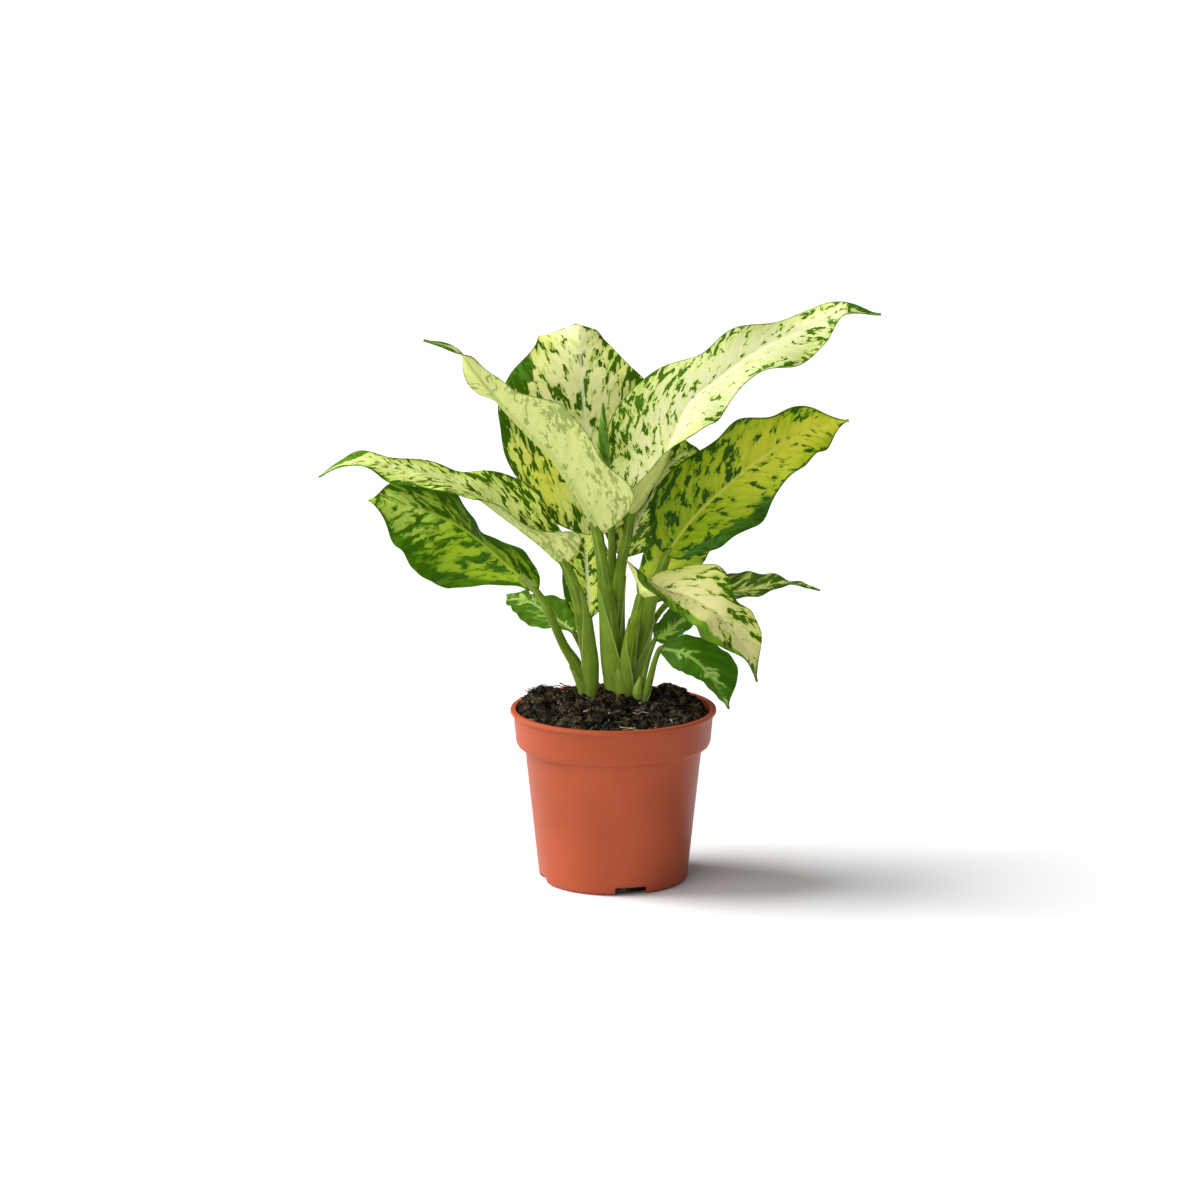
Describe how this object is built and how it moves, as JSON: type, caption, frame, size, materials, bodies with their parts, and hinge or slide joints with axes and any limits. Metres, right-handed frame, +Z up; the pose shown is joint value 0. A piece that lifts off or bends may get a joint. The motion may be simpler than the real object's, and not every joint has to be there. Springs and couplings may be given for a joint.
{
  "type": "potted dieffenbachia",
  "caption": "Variegated dieffenbachia with arching, waved oval leaves on tall stalks, standing in a tapered round nursery pot with a collar, filled with compost.",
  "frame": {"origin": "the pot's axis on the surface that the pot stands on", "axes": "+Z is up along the pot's axis, -Y is the side that the picture shows, and +X is to its right"},
  "size_m": [0.325, 0.1442, 0.3348],
  "materials": {
    "terracotta_plastic": "moulded, slightly satin",
    "compost": "loose, damp, matte",
    "stalk_green": "smooth, living, satin",
    "leaf_cream": "cream with dark green flecks along the veins, satin",
    "leaf_pale_green": "pale green with faint flecks, satin",
    "leaf_olive": "olive yellow with a wide dark green margin, satin",
    "leaf_mid_green": "mid green with paler veins, satin",
    "leaf_dark_green": "dark green with pale streaks along the veins, satin"
  },
  "bodies": {
    "root": {"pot": "terracotta_plastic", "soil": "compost", "shoot_centre": "stalk_green", "shoot_left": "stalk_green", "shoot_small": "stalk_green", "leaf_spear": "leaf_dark_green", "leaf_top_right": "leaf_cream", "leaf_right": "leaf_olive", "leaf_back": "leaf_cream", "leaf_centre_back": "leaf_mid_green", "leaf_top_left": "leaf_pale_green", "leaf_left": "leaf_cream", "leaf_lower_left": "leaf_dark_green", "leaf_low_back_left": "leaf_dark_green", "leaf_mid_back": "leaf_pale_green", "leaf_front_right": "leaf_cream", "leaf_mid_right": "leaf_mid_green", "leaf_low_right": "leaf_dark_green", "leaf_low_front_right": "leaf_mid_green", "leaf_small_right": "leaf_mid_green"}
  },
  "joints": []
}
